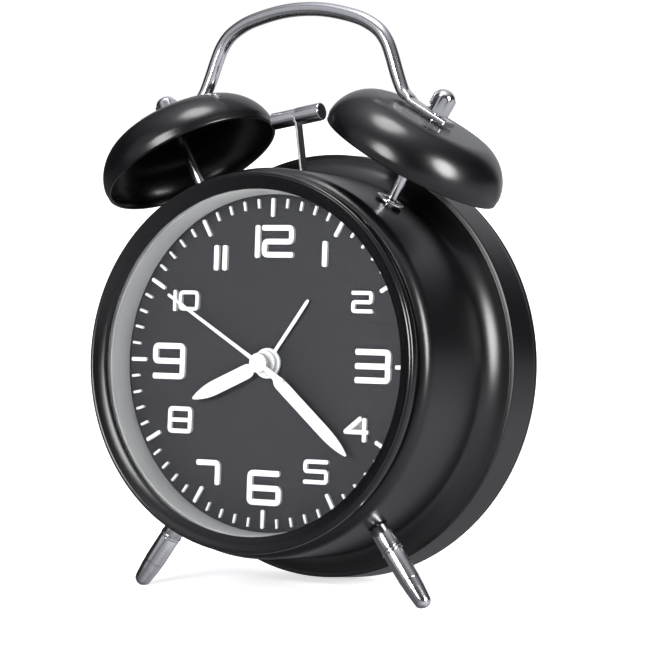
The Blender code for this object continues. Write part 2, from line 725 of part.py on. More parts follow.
switch = make("alarm_switch", block((-3.0, 40.7, -3.2), (3.0, 42.6, 3.2)), grey, root)
switch.location = Vector((SWITCH_AT[0] - 2.0, 0, SWITCH_AT[2])) * MM
join(switch, block((-1.2, 35.5, -1.1), (1.2, 41.0, 1.1)), root, (SWITCH_AT[0] - 2.0, 0, SWITCH_AT[2]))
join(switch, block((-2.6, 34.6, -2.6), (2.6, 35.9, 2.6)), root, (SWITCH_AT[0] - 2.0, 0, SWITCH_AT[2]))

button_profile = [(0, 36.6), (4.6, 36.6), (4.6, 38.0), (3.6, 38.0), (3.6, 42.4), (3.2, 42.8)]
button_profile += [(0, 42.8)]
make("light_button", turned(button_profile, 20), grey, root, BUTTON_AT)
make("light_switch", block((16.0, 30.0, 14.0), (26.0, 34.6, 24.0)), dark_plastic, root)

battery_profile = [(0, -25.1), (6.6, -25.1), (7.05, -24.8), (7.05, 23.7), (6.6, 24.0), (2.7, 24.0)]
battery_profile += [(2.7, 25.1), (0, 25.1)]
for name, height, half_turn in (("upper", BATTERY_Z[0], 0), ("lower", BATTERY_Z[1], pi)):
    where = (0, BATTERY_Y, height)
    make(f"battery_{name}", turned(battery_profile, 12, "X"), cell, root, where, (0, 0, half_turn))
for name, sign in (("left", -1), ("right", 1)):
    strip = block((26.6, 25.0, -39.5), (27.2, 37.5, -12.0))
    strip = ([(sign * x, y, z) for x, y, z in strip[0]], strip[1])
    contact = make(f"contact_{name}", strip, steel, root)
    for height in BATTERY_Z:
        bump = turned([(0, 0.2), (3.4, 0.2), (2.2, -1.0), (0, -1.0)], 10, "X")
        bump = ([(sign * x, y, z) for x, y, z in bump[0]], bump[1])
        join(contact, bump, root, (sign * 26.5, BATTERY_Y, height))

screw_profile = [(0, 34.5), (1.3, 34.5), (1.3, 40.7), (2.6, 40.7), (2.6, 41.3), (1.8, 42.0), (0, 42.0)]
for name, deg in (("top", 90), ("left", 210), ("right", 330)):
    where = (SCREW_R * cos(radians(deg)), 0, SCREW_R * sin(radians(deg)))
    spin = (0, radians(90 - deg), 0)
    make(f"cover_screw_{name}", turned(screw_profile, 12), steel, root, where)
    cut(cover, disc(1.6, 37, 42, 12), root, where)
    join(case, block((-4, 36.4, 49.5), (4, 37.6, 58.2)), root, (0, 0, 0), spin)
    cut(case, disc(1.6, 34, 39, 12), root, where)
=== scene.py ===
"""The finished look of the twin-bell alarm clock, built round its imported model.

Shapes are in millimetres in the clock's own frame: origin at the dial's centre, x to the
right, y to the back, z to the twelve. CASE stands that frame, leaning, on the floor.
"""

import json
from math import cos, pi, radians, sin

import bmesh
import bpy
from mathutils import Matrix, Vector


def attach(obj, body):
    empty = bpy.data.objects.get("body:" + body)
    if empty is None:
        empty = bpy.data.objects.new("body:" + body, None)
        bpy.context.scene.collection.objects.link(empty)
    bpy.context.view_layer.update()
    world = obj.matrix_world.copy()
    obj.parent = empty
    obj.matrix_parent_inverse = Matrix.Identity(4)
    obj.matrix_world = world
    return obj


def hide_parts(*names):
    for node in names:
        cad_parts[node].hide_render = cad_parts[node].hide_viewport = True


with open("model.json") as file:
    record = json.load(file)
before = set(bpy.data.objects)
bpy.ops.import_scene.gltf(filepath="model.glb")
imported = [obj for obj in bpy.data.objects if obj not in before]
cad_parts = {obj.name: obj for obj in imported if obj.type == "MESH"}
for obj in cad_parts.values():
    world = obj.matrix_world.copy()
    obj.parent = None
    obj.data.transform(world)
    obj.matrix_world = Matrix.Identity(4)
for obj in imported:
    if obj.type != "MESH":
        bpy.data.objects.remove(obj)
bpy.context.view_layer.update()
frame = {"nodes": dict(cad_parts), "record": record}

MM = 0.001
# The case leans back, and LIFT puts the lowest point of its rear rim on the floor.
LEAN = radians(6.4)
SHIFT_BACK = -15.65
RIM_EDGE = ((59.3, 41.8), (59.15, 42.5), (58.8, 42.7))
LIFT = max(radius * cos(LEAN) + y * sin(LEAN) for radius, y in RIM_EDGE)
CASE = Matrix.Translation((0, SHIFT_BACK * MM, LIFT * MM)) @ Matrix.Rotation(-LEAN, 4, "X")

# Case, bells and handle. A bell's dome starts at DOME_START over its mouth.
DRUM_R = 52.5
CASE_WALL = 0.67
BELL_TILT = radians(29.9)
BELL_MOUTH = (35.03, 11.84, 54.94)
DOME_POWER = 2 / 1.774
DOME_START = 2.0
ROD_R = 1.92

# The right foot's ends, and the height over the floor where its tip is cut flat.
FOOT_BASE = (30.62, 8.03, -42.03)
FOOT_TIP = (45.07, 8.82, -61.65)
FOOT_CUT = 0.003

# Hammer.
PIVOT = (4.5, 12.0, 34.4)
ARM_LEAN = radians(-9.5)
ARM_TO_HEAD = 33.76

# Dial figures and marks; a mark is (inner radius, width).
FIGURE_FRONT = -0.95
FIGURE_BACK = -0.02
FIGURE_STEP = 0.02
MARK_OUTER_R = 44.5
HOUR_MARK = (39.4, 1.1)
MINUTE_MARK = (41.9, 0.72)

# Back: the cover, its openings and the controls.
COVER_BACK = 40.4
COVER_SCREW_R = 52.5
THROUGH_COVER = (37, 42)
STEM_X, STEM_Z = 12.0, -4.0
BUTTON_X = 21.0
SWITCH_X = -23.0
CONTROLS_Z = 19.0
BATTERY_X = 27.6
BATTERY_Z = (-40.8, -10.8)

# Finishes and lights. Edges sharper than CUT_ANGLE degrees show on a cut piece.
CUT_ANGLE = 28
GRAIN_DEPTH = 0.02
EVEN = (1, 1, 1)
LAMP_DISTANCE = 1.2
LAMP_AIM = (0, 0, 0.09)


# ---------------------------------------------------------------- shapes


def turned(profile, sides=96, axis="Y", hexed=(), flutes=None):
    """A closed (radius, height) outline turned about an axis.

    The rows in hexed are six-sided, and flutes is (rows, how many, how deep).
    """
    points = []
    rows = []
    for index, (radius, height) in enumerate(profile):
        if radius < 1e-6:
            rows.append(None)
            continue
        row = []
        for k in range(sides):
            angle = -pi / 2 + 2 * pi * k / sides
            reach = radius
            if index in hexed:
                reach = radius / cos((angle + pi / 6) % (pi / 3) - pi / 6)
            if flutes and index in flutes[0]:
                reach = radius - flutes[2] * (0.5 + 0.5 * cos(flutes[1] * angle)) ** 2
            points.append((reach * cos(angle), reach * sin(angle), height))
            row.append(len(points) - 1)
        rows.append(row)
    faces = []
    for i in range(len(rows)):
        j = (i + 1) % len(rows)
        a, b = rows[i], rows[j]
        if a is None and b is None:
            continue
        if a is None or b is None:
            ring = a or b
            apex = profile[i][1] if a is None else profile[j][1]
            if abs(points[ring[0]][2] - apex) < 1e-6:
                faces.append(list(ring))
                continue
            points.append((0.0, 0.0, apex))
            for k in range(sides):
                faces.append([ring[k], ring[(k + 1) % sides], len(points) - 1])
            continue
        for k in range(sides):
            n = (k + 1) % sides
            faces.append([a[k], a[n], b[n], b[k]])
    if axis == "Y":
        points = [(x, z, y) for x, y, z in points]
    elif axis == "X":
        points = [(z, x, y) for x, y, z in points]
    return points, faces


def eased(points, radius, steps=3, closed=False):
    """The same line with each corner rounded."""
    out = []
    count = len(points)
    for i in range(count):
        here = Vector(points[i])
        if (not closed and i in (0, count - 1)) or (abs(here.x) < 1e-6 and closed):
            out.append(tuple(here))
            continue
        back = Vector(points[i - 1]) - here
        ahead = Vector(points[(i + 1) % count]) - here
        reach = min(radius, back.length * 0.45, ahead.length * 0.45)
        first = here + back.normalized() * reach
        last = here + ahead.normalized() * reach
        for k in range(steps + 1):
            t = k / steps
            out.append(tuple(first * (1 - t) ** 2 + here * (2 * t * (1 - t)) + last * t**2))
    return out


def soft_turned(profile, radius=0.15, sides=96, axis="Y", steps=3):
    """A turned shape whose corners are all slightly rounded."""
    return turned(eased(profile, radius, steps, True), sides, axis)


def block(low, high):
    """A box between two corners."""
    (x0, y0, z0), (x1, y1, z1) = low, high
    points = [(x, y, z) for z in (z0, z1) for y in (y0, y1) for x in (x0, x1)]
    faces = [[0, 1, 3, 2], [4, 5, 7, 6], [0, 1, 5, 4], [2, 3, 7, 6], [0, 2, 6, 4], [1, 3, 7, 5]]
    return points, faces


def plate(outline, y0, y1):
    """An (x, z) outline made solid from y0 to y1."""
    count = len(outline)
    points = [(x, y0, z) for x, z in outline] + [(x, y1, z) for x, z in outline]
    faces = [list(range(count)), list(range(count, 2 * count))]
    for k in range(count):
        n = (k + 1) % count
        faces.append([k, n, n + count, k + count])
    return points, faces


def merged(*shapes):
    """Several shapes as one."""
    points = []
    faces = []
    for more_points, more_faces in shapes:
        start = len(points)
        points += more_points
        faces += [[index + start for index in face] for face in more_faces]
    return points, faces


def ribbon(line, width, closed=False, cap=0.62):
    """The outline of a stroke: one loop with rounded ends, or an outer and an inner loop."""
    sides = ([], [])
    count = len(line)
    for i in range(count):
        here = Vector(line[i])
        before = Vector(line[i - 1]) if closed or i else here
        after = Vector(line[(i + 1) % count]) if closed or i < count - 1 else here
        into = (here - before).normalized() if before != here else (after - here).normalized()
        out = (after - here).normalized() if after != here else into
        normal = Vector((-(into + out).y, (into + out).x)).normalized()
        reach = width / 2 / max(normal.dot(Vector((-into.y, into.x))), 0.35)
        sides[0].append(here + normal * reach)
        sides[1].append(here - normal * reach)
    if closed:
        return [tuple(p) for p in sides[0]], [tuple(p) for p in sides[1]]

    def end(point, along):
        """The rounded end of a stroke."""
        across = Vector((-along.y, along.x))
        half = width / 2
        base = point - along * half * cap
        return [
            tuple(base + across * half * cos(a) + along * half * cap * sin(a))
            for a in [pi * (k + 0.5) / 8 for k in range(8)]
        ]

    first, last = Vector(line[0]), Vector(line[-1])
    ahead = (last - Vector(line[-2])).normalized()
    behind = (first - Vector(line[1])).normalized()
    sides[0][0] -= behind * width / 2 * cap
    sides[1][0] -= behind * width / 2 * cap
    sides[0][-1] -= ahead * width / 2 * cap
    sides[1][-1] -= ahead * width / 2 * cap
    left = [tuple(p) for p in sides[0]]
    right = [tuple(p) for p in sides[1]]
    return left + end(last, ahead) + right[::-1] + end(first, behind)


def framed(outer, inner, y0, y1):
    """A closed stroke made solid."""
    count = len(outer)
    points = [(x, y, z) for y in (y0, y1) for loop in (outer, inner) for x, z in loop]
    faces = []
    rows = [0, count, 3 * count, 2 * count]
    for k in range(count):
        n = (k + 1) % count
        for r in range(4):
            a, b = rows[r], rows[(r + 1) % 4]
            faces.append([a + k, a + n, b + n, b + k])
    return points, faces


def smooth_rows(rows, times):
    """More rows through the given ones, on a Catmull-Rom curve."""
    out = []
    count = len(rows)
    for i in range(count - 1):
        p0, p1, p2, p3 = (rows[min(max(i + d, 0), count - 1)] for d in (-1, 0, 1, 2))
        for k in range(times):
            t = k / times
            out.append(
                tuple(
                    0.5
                    * (
                        2 * b
                        + (c - a) * t
                        + (2 * a - 5 * b + 4 * c - d) * t**2
                        + (3 * b - a - 3 * c + d) * t**3
                    )
                    for a, b, c, d in zip(p0, p1, p2, p3)
                )
            )
    out.append(tuple(rows[-1]))
    return out


def swept(rows, sides=40):
    """A rod in the plane y = 0 from rows of (x, z, across, thick, squareness)."""
    points = []
    count = len(rows)
    for i, (x, z, across, thick, square) in enumerate(rows):
        before = Vector(rows[max(i - 1, 0)][:2])
        after = Vector(rows[min(i + 1, count - 1)][:2])
        along = (after - before).normalized()
        for k in range(sides):
            angle = 2 * pi * (k + 0.5) / sides
            c, s = cos(angle), sin(angle)
            c = abs(c) ** (2 / square) * (1 if c > 0 else -1)
            s = abs(s) ** (2 / square) * (1 if s > 0 else -1)
            points.append((x - along.y * thick * c, across * s, z + along.x * thick * c))
    faces = [list(range(sides)), list(range((count - 1) * sides, count * sides))]
    for i in range(count - 1):
        for k in range(sides):
            n = (k + 1) % sides
            faces.append(
                [i * sides + k, i * sides + n, (i + 1) * sides + n, (i + 1) * sides + k]
            )
    return points, faces


# ---------------------------------------------------------------- pieces


def face_outwards(work):
    """Turns every closed body's faces outwards."""
    bmesh.ops.recalc_face_normals(work, faces=work.faces)
    left = set(work.faces)
    volumes = {}
    for a, b, c in work.calc_loop_triangles():
        volumes[a.face] = volumes.get(a.face, 0) + a.vert.co.dot(b.vert.co.cross(c.vert.co))
    while left:
        body = {left.pop()}
        todo = list(body)
        while todo:
            for edge in todo.pop().edges:
                for other in edge.link_faces:
                    if other not in body:
                        body.add(other)
                        todo.append(other)
        left -= body
        if sum(volumes[face] for face in body) < 0:
            bmesh.ops.reverse_faces(work, faces=list(body))


def build(name, shape, look, place, angle=32, bevel=0.0):
    """A mesh object from a shape in millimetres."""
    points, faces = shape
    mesh = bpy.data.meshes.new(name)
    mesh.from_pydata([place @ (Vector(point) * MM) for point in points], [], faces)
    work = bmesh.new()
    work.from_mesh(mesh)
    face_outwards(work)
    work.to_mesh(mesh)
    work.free()
    mesh.shade_smooth()
    mesh.set_sharp_from_angle(angle=radians(angle))
    made = bpy.data.objects.new(name, mesh)
    bpy.context.scene.collection.objects.link(made)
    if look:
        mesh.materials.append(look)
    if bevel:
        step = made.modifiers.new("edges", "BEVEL")
        step.width = bevel * MM
        step.segments = 3
        step.limit_method = "ANGLE"
        step.angle_limit = radians(50)
        step.harden_normals = True
    return made


def piece(name, shape, look, body, nodes=(), place=CASE, angle=32, bevel=0.0):
    """A visible piece that rides on a body and stands for the named nodes."""
    made = build(name, shape, look, place, angle, bevel)
    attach(made, body)
    if nodes:
        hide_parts(*nodes)
    return made


def at(x, y, z, rotation=None):
    """A place in the clock's frame."""
    place = CASE @ Matrix.Translation(Vector((x, y, z)) * MM)
    return place @ rotation if rotation else place


# ---------------------------------------------------------------- materials


def surface(
    name, dark, light, rough, metallic=0.0, grain=900, stretch=EVEN, bump=0.05, specular=0.5
):
    """A Principled finish with fine variation of colour, roughness and height."""
    made = bpy.data.materials.new(name)
    made.use_nodes = True
    nodes, links = made.node_tree.nodes, made.node_tree.links
    shader = nodes["Principled BSDF"]
    where = nodes.new("ShaderNodeTexCoord")
    scale = nodes.new("ShaderNodeMapping")
    scale.inputs["Scale"].default_value = stretch
    fine = nodes.new("ShaderNodeTexNoise")
    fine.inputs["Scale"].default_value = grain
    fine.inputs["Detail"].default_value = 3.0
    broad = nodes.new("ShaderNodeTexNoise")
    broad.inputs["Scale"].default_value = 45.0
    broad.inputs["Detail"].default_value = 2.0
    tint = nodes.new("ShaderNodeMix")
    tint.data_type = "RGBA"
    tint.inputs["A"].default_value = (*dark, 1)
    tint.inputs["B"].default_value = (*light, 1)
    finish = nodes.new("ShaderNodeMapRange")
    finish.inputs["To Min"].default_value = rough[0]
    finish.inputs["To Max"].default_value = rough[1]
    relief = nodes.new("ShaderNodeBump")
    relief.inputs["Strength"].default_value = bump
    relief.inputs["Distance"].default_value = GRAIN_DEPTH * MM
    links.new(where.outputs["Object"], scale.inputs["Vector"])
    links.new(scale.outputs["Vector"], fine.inputs["Vector"])
    links.new(where.outputs["Object"], broad.inputs["Vector"])
    links.new(fine.outputs["Fac"], tint.inputs["Factor"])
    links.new(tint.outputs["Result"], shader.inputs["Base Color"])
    links.new(broad.outputs["Fac"], finish.inputs["Value"])
    links.new(finish.outputs["Result"], shader.inputs["Roughness"])
    links.new(fine.outputs["Fac"], relief.inputs["Height"])
    links.new(relief.outputs["Normal"], shader.inputs["Normal"])
    shader.inputs["Metallic"].default_value = metallic
    shader.inputs["Specular IOR Level"].default_value = specular
    return made


def clear_glass():
    """Thin clear glass: light passes, and the face mirrors a little towards the edges."""
    made = bpy.data.materials.new("clear_glass")
    made.use_nodes = True
    nodes, links = made.node_tree.nodes, made.node_tree.links
    nodes.remove(nodes["Principled BSDF"])
    through = nodes.new("ShaderNodeBsdfTransparent")
    gloss = nodes.new("ShaderNodeBsdfGlossy")
    edge = nodes.new("ShaderNodeFresnel")
    edge.inputs["IOR"].default_value = 1.12
    haze = nodes.new("ShaderNodeTexNoise")
    haze.inputs["Scale"].default_value = 60.0
    spread = nodes.new("ShaderNodeMapRange")
    spread.inputs["To Min"].default_value = 0.03
    spread.inputs["To Max"].default_value = 0.06
    blend = nodes.new("ShaderNodeMixShader")
    through.inputs["Color"].default_value = (0.97, 0.975, 0.975, 1)
    gloss.inputs["Color"].default_value = (1, 1, 1, 1)
    links.new(haze.outputs["Fac"], spread.inputs["Value"])
    links.new(spread.outputs["Result"], gloss.inputs["Roughness"])
    links.new(edge.outputs["Fac"], blend.inputs["Fac"])
    links.new(through.outputs["BSDF"], blend.inputs[1])
    links.new(gloss.outputs["BSDF"], blend.inputs[2])
    links.new(blend.outputs["Shader"], nodes["Material Output"].inputs["Surface"])
    return made


ENAMEL = ((0.001, 0.001, 0.0013), (0.0024, 0.0024, 0.003))
CHROME = ((0.6, 0.6, 0.615), (0.72, 0.72, 0.74))
STEEL = ((0.42, 0.42, 0.43), (0.6, 0.6, 0.61))
BRASS = ((0.62, 0.43, 0.18), (0.78, 0.58, 0.28))
PALE_GREY = ((0.5, 0.5, 0.49), (0.56, 0.56, 0.55))
WALL_GREY = ((0.58, 0.58, 0.58), (0.65, 0.65, 0.65))
DIAL_GREY = ((0.002, 0.002, 0.0025), (0.07, 0.069, 0.077))
FIGURE_WHITE = ((0.8, 0.8, 0.79), (0.86, 0.86, 0.85))
HAND_WHITE = ((0.84, 0.84, 0.83), (0.9, 0.9, 0.89))
BLACK_PLASTIC = ((0.012, 0.012, 0.012), (0.026, 0.026, 0.026))
NYLON = ((0.66, 0.65, 0.58), (0.76, 0.75, 0.69))
BOARD_GREEN = ((0.015, 0.09, 0.04), (0.03, 0.17, 0.08))
COPPER = ((0.5, 0.18, 0.07), (0.68, 0.3, 0.14))
JACKET = ((0.03, 0.035, 0.05), (0.06, 0.07, 0.1))

black = surface("black_enamel", *ENAMEL, (0.26, 0.32), grain=1400, bump=0.06)
bell_black = surface("bell_enamel", *ENAMEL, (0.22, 0.28), grain=1400, bump=0.06)
ring_black = surface("ring_enamel", *ENAMEL, (0.2, 0.26), grain=1400, bump=0.05)
chrome = surface("chrome_plate", *CHROME, (0.12, 0.19), 1.0, 700, (1, 1, 0.15), 0.04)
steel = surface("plain_steel", *STEEL, (0.25, 0.38), 1.0, 900, (1, 1, 0.1), 0.08)
brass = surface("plain_brass", *BRASS, (0.25, 0.35), 1.0)
grey = surface("pale_grey_moulding", *PALE_GREY, (0.4, 0.5), 0.0, 1200)
wall_grey = surface("reflector_paint", *WALL_GREY, (0.4, 0.5), 0.0, 1200)
dial_paint = surface("dial_paint", *DIAL_GREY, (0.55, 0.7), 0.0, 2600, EVEN, 0.3, 0.15)
figure_white = surface("figure_enamel", *FIGURE_WHITE, (0.35, 0.45), 0.0, 1500)
hand_white = surface("hand_enamel", *HAND_WHITE, (0.3, 0.4), 0.0, 1500)
plastic = surface("black_moulding", *BLACK_PLASTIC, (0.42, 0.55), 0.0, 2200, EVEN, 0.3)
nylon = surface("pale_nylon", *NYLON, (0.4, 0.55))
board_green = surface("board_lacquer", *BOARD_GREEN, (0.25, 0.4))
copper = surface("copper_wire", *COPPER, (0.25, 0.4), 1.0, 1500, (8, 0.2, 0.2), 0.4)
jacket = surface("cell_jacket", *JACKET, (0.25, 0.35), 0.3)
glass = clear_glass()

NODE_LOOKS = {
    "satin_black_metal": black,
    "polished_chrome": chrome,
    "brushed_steel": steel,
    "brass": brass,
    "clear_glass": glass,
    "pale_grey_plastic": grey,
    "charcoal_dial": dial_paint,
    "white_enamel": hand_white,
    "dark_plastic": plastic,
    "pale_nylon": nylon,
    "circuit_board_green": board_green,
    "copper_winding": copper,
    "battery_jacket": jacket,
}
for part in frame["record"]["subparts"]:
    target = frame["nodes"][part["node"]]
    target.data.materials.clear()
    target.data.materials.append(NODE_LOOKS[part["material_slot"]])

# ---------------------------------------------------------------- case and front

# The case outline as (radius, y): outside from front to back, then the inside.
shoulder = [(50.05, -7.05), (50.4, -6.92), (50.95, -6.6), (51.5, -6.12), (51.95, -5.5)]
shoulder += [(52.27, -4.75), (52.44, -4.0), (DRUM_R, -3.2)]
drum = [(DRUM_R, -2.0 + 1.55 * k) for k in range(16)]
flare = [(DRUM_R, 22.0), (52.6, 23.2), (52.9, 24.3), (53.35, 25.3), (53.9, 26.2), (54.55, 27.05)]
flare += [(55.3, 27.85), (56.1, 28.5), (56.9, 28.98), (57.5, 29.36)]
ledge = [(57.57, 29.39), (57.68, 29.4), (58.6, 29.4), (58.72, 29.44)]
band = [(58.76 + 0.5 * k / 12, 29.55 + 11.15 * k / 12) for k in range(13)]
rim = [(59.14, 41.0), (59.16, 41.2), (59.27, 41.45), (59.26, 41.9), (59.12, 42.4), (58.8, 42.68)]
rim += [(58.5, 42.6), (58.3, 42.3)]
lining = [(57.9, 30.4), (57.2, 30.2)]
lining += [(radius - CASE_WALL, y + CASE_WALL) for radius, y in flare[7:1:-1]]
lining += [(51.6, 21.5), (51.6, -3.0), (50.9, -4.6), (49.5, -5.4), (49.5, -7.05)]
case_profile = shoulder + drum + smooth_rows(flare, 2) + ledge + band + rim + lining
shell = piece(
    "case_shell_look",
    turned(case_profile, 224),
    black,
    "case",
    ("case_shell",),
    angle=CUT_ANGLE,
)


def carve(target, shape, place):
    """Cuts a shape out of a piece and marks the sharp edges afresh."""
    tool = build("tool", shape, None, place)
    step = target.modifiers.new("carve", "BOOLEAN")
    step.operation = "DIFFERENCE"
    step.solver = "EXACT"
    step.object = tool
    bpy.context.view_layer.update()
    graph = bpy.context.evaluated_depsgraph_get()
    done = bpy.data.meshes.new_from_object(target.evaluated_get(graph))
    target.modifiers.remove(step)
    done.set_sharp_from_angle(angle=radians(CUT_ANGLE))
    target.data = done
    bpy.data.objects.remove(tool, do_unlink=True)


carve(shell, block((-1.6, 9.7, 46), (6.0, 14.3, 58)), CASE)

bezel_profile = [(46.3, -9.75), (46.32, -10.1), (46.5, -10.28), (47.2, -10.55), (48.1, -10.98)]
bezel_profile += [(48.9, -11.5), (49.45, -11.95), (49.8, -12.17), (49.98, -12.16)]
bezel_profile += [(50.1, -12.02), (50.18, -11.86), (50.3, -11.86), (50.44, -11.9)]
bezel_profile += [(50.62, -11.8), (50.82, -11.45), (50.94, -10.95), (50.97, -10.4)]
bezel_profile += [(50.94, -9.85), (50.82, -9.3), (50.55, -8.75), (50.25, -8.35)]
bezel_profile += [(50.1, -7.9), (50.05, -7.4), (49.15, -7.4), (49.15, -4.6)]
bezel_profile += [(48.5, -4.6), (48.5, -9.6)]
piece(
    "bezel_ring_look",
    turned(bezel_profile, 256),
    ring_black,
    "case",
    ("bezel_ring",),
    angle=40,
)
lens_profile = [(0, -9.3), (48.2, -9.3), (48.2, -8.2), (0, -8.2)]
piece("lens_look", soft_turned(lens_profile, 0.2, 160), glass, "case", ("lens",))
reflector_profile = [(46.25, -7.9), (48.2, -7.9), (48.2, -7.1), (47.0, -7.1), (46.4, -0.3)]
reflector_profile += [(45.5, -0.3)]
piece(
    "reflector_ring_look",
    soft_turned(reflector_profile, 0.1, 192),
    wall_grey,
    "case",
    ("reflector_ring",),
)
piece(
    "dial_look",
    soft_turned([(3.4, 0), (51.2, 0), (51.2, 0.8), (3.4, 0.8)], 0.05, 160),
    dial_paint,
    "case",
    ("dial",),
)

# Dial figures: (width, corner radius, closed, depth step, line through (x, z) points)
FIGURES = [
    (1.5, 0, False, 0, [(-4.45, 28.3), (-4.45, 37.2)]),
    (1.5, 1.12, False, 0, [(-3.1, 36.45), (6.25, 36.45), (6.25, 32.75), (-2.25, 32.75)]
     + [(-2.25, 29.2), (6.9, 29.2)]),
    (1.5, 0, False, 0, [(16.8, 26.1), (16.8, 33.0)]),
    (1.05, 0.71, False, 0, [(25.5, 19.35), (31.5, 19.35), (31.5, 16.9), (26.1, 16.9)]
     + [(26.1, 14.5), (32.1, 14.5)]),
    (1.6, 1.05, False, 0, [(27.3, 3.8), (37.3, 3.8), (37.3, 0.05), (27.3, 0.05)]),
    (1.6, 1.05, False, 1, [(33.0, 0.05), (37.3, 0.05), (37.3, -3.65), (27.3, -3.65)]),
    (1.2, 0.25, False, 0, [(29.8, -13.5), (25.0, -17.35), (32.0, -17.35)]),
    (1.2, 0, False, 1, [(30.75, -13.6), (30.75, -20.0)]),
    (1.1, 0.74, False, 0, [(20.1, -25.75), (13.0, -25.75), (13.0, -28.3), (19.6, -28.3)]
     + [(19.6, -31.15), (12.5, -31.15)]),
    (1.6, 1.12, False, 0, [(5.0, -29.6), (-4.3, -29.6), (-4.3, -37.4), (4.85, -37.4)]
     + [(4.85, -33.6), (-3.4, -33.6)]),
    (1.6, 0, False, 1, [(-2.6, -33.6), (-4.3, -33.6)]),
    (1.5, 1.05, False, 0, [(-21.8, -27.5), (-14.85, -27.5), (-14.85, -33.5)]),
    (1.2, 0.87, True, 0, [(-31.0, -13.2), (-24.4, -13.2), (-24.4, -19.3), (-31.0, -19.3)]),
    (1.15, 0, False, 1, [(-31.0, -16.25), (-24.4, -16.25)]),
    (1.6, 1.12, False, 0, [(-37.2, -4.4), (-27.5, -4.4), (-27.5, 3.9), (-36.5, 3.9)]
     + [(-36.5, -0.25), (-28.4, -0.25)]),
    (1.6, 0, False, 1, [(-29.2, -0.25), (-27.5, -0.25)]),
    (1.05, 0, False, 0, [(-30.7, 13.5), (-30.7, 19.3)]),
    (1.05, 1.05, True, 0, [(-28.9, 14.2), (-23.4, 14.2), (-23.4, 18.7), (-28.9, 18.7)]),
    (1.5, 0, False, 0, [(-17.55, 24.8), (-17.55, 31.7)]),
    (1.5, 0, False, 0, [(-14.8, 24.8), (-14.8, 31.7)]),
]
strokes = []
for width, corner, closed, step, line in FIGURES:
    line = eased(line, corner, 7, closed) if corner else line
    front = FIGURE_FRONT + FIGURE_STEP * step
    if closed:
        strokes.append(framed(*ribbon(line, width, True), front, FIGURE_BACK))
    else:
        strokes.append(plate(ribbon(line, width), front, FIGURE_BACK))
piece("dial_numerals", merged(*strokes), figure_white, "case", bevel=0.14)
ticks = []
for minute in range(60):
    inner, width = HOUR_MARK if minute % 5 == 0 else MINUTE_MARK
    turn = radians(6 * minute)
    line = [(radius * sin(turn), radius * cos(turn)) for radius in (inner, MARK_OUTER_R)]
    ticks.append(plate(ribbon(line, width), FIGURE_FRONT + 0.05, FIGURE_BACK))
piece("dial_ticks", merged(*ticks), figure_white, "case", bevel=0.1)

# ---------------------------------------------------------------- bells, posts, handle


def dome(degrees, crown, reach, rise):
    """Part of a superellipse from the bell's wall, at 0 degrees, to its crown, at 90."""
    points = []
    for deg in degrees:
        across = max(cos(radians(deg)), 0) ** DOME_POWER
        upwards = sin(radians(deg)) ** DOME_POWER
        points.append((crown + reach * across, DOME_START + rise * upwards))
    return points


def bell_profile():
    """The bell's outline, outside and inside, with a rolled mouth."""
    outer = [(25.05, 0.0), (25.2, 0.04), (25.3, 0.2), (25.32, 0.7), (25.38, 1.3)]
    outer += dome(range(0, 91, 5), 15.75, 9.75, 10.6)
    outer += [(12.0, 12.66), (8.0, 12.69), (4.0, 12.7), (1.6, 12.7)]
    inner = [(1.6, 11.8), (8.0, 11.8), (15.0, 11.7)]
    inner += dome(range(84, -1, -7), 15.2, 9.4, 9.7)
    inner += [(24.45, 0.2), (24.55, 0.04), (24.7, 0.0)]
    return outer + inner


nut_rows = [(1.6, 14.92), (2.62, 14.92), (2.74, 15.1), (2.74, 19.6)]
nut_rows += [(2.7, 20.0), (2.5, 20.45), (2.1, 20.9), (1.55, 21.25), (0.85, 21.5), (0, 21.56)]
nut_rows += [(0, 19.0), (1.6, 19.0)]
post_rows = [(0, -17.5), (1.5, -17.5), (1.5, 10.1), (2.9, 10.4), (3.0, 10.6), (3.0, 11.5)]
post_rows += [(1.25, 11.5), (1.25, 18.6), (0, 18.6)]
washer_rows = [(1.8, -12.1), (4.05, -12.1), (4.05, -11.62), (3.85, -11.5), (1.8, -11.5)]
# Each bell part as (node, shape, finish, slot, smooth angle), along the bell's own axis.
BELL_PARTS = [
    ("bell", turned(bell_profile(), 160, "Z"), bell_black, "satin_black_metal", 50),
    ("bell_post", soft_turned(post_rows, 0.1, 48, "Z"), chrome, "polished_chrome", 32),
    ("post_washer", soft_turned(washer_rows, 0.08, 64, "Z"), chrome, "polished_chrome", 32),
    ("bell_nut", turned(nut_rows, 72, "Z", hexed=(1, 2, 3)), chrome, "polished_chrome", 25),
]
for side, sign in (("left", -1), ("right", 1)):
    place = at(sign * BELL_MOUTH[0], *BELL_MOUTH[1:], Matrix.Rotation(sign * BELL_TILT, 4, "Y"))
    for name, shape, look, slot, angle in BELL_PARTS:
        node = f"{name}_{side}"
        piece(f"{node}_look", shape, look, "case", (node,), place, angle)


def over_bell(inward, height):
    """A point over the right bell, inward of its axis and above its mouth."""
    x = BELL_MOUTH[0] + height * sin(BELL_TILT) - inward * cos(BELL_TILT)
    z = BELL_MOUTH[2] + height * cos(BELL_TILT) + inward * sin(BELL_TILT)
    return x, z


ROD_LINE = [(0, 97.1), (5.5, 96.82), (11.0, 95.9), (17.0, 94.3), (20.9, 92.55), (24.1, 90.3)]
ROD_LINE += [(26.4, 87.3), (28.0, 83.7), (29.6, 79.2)]
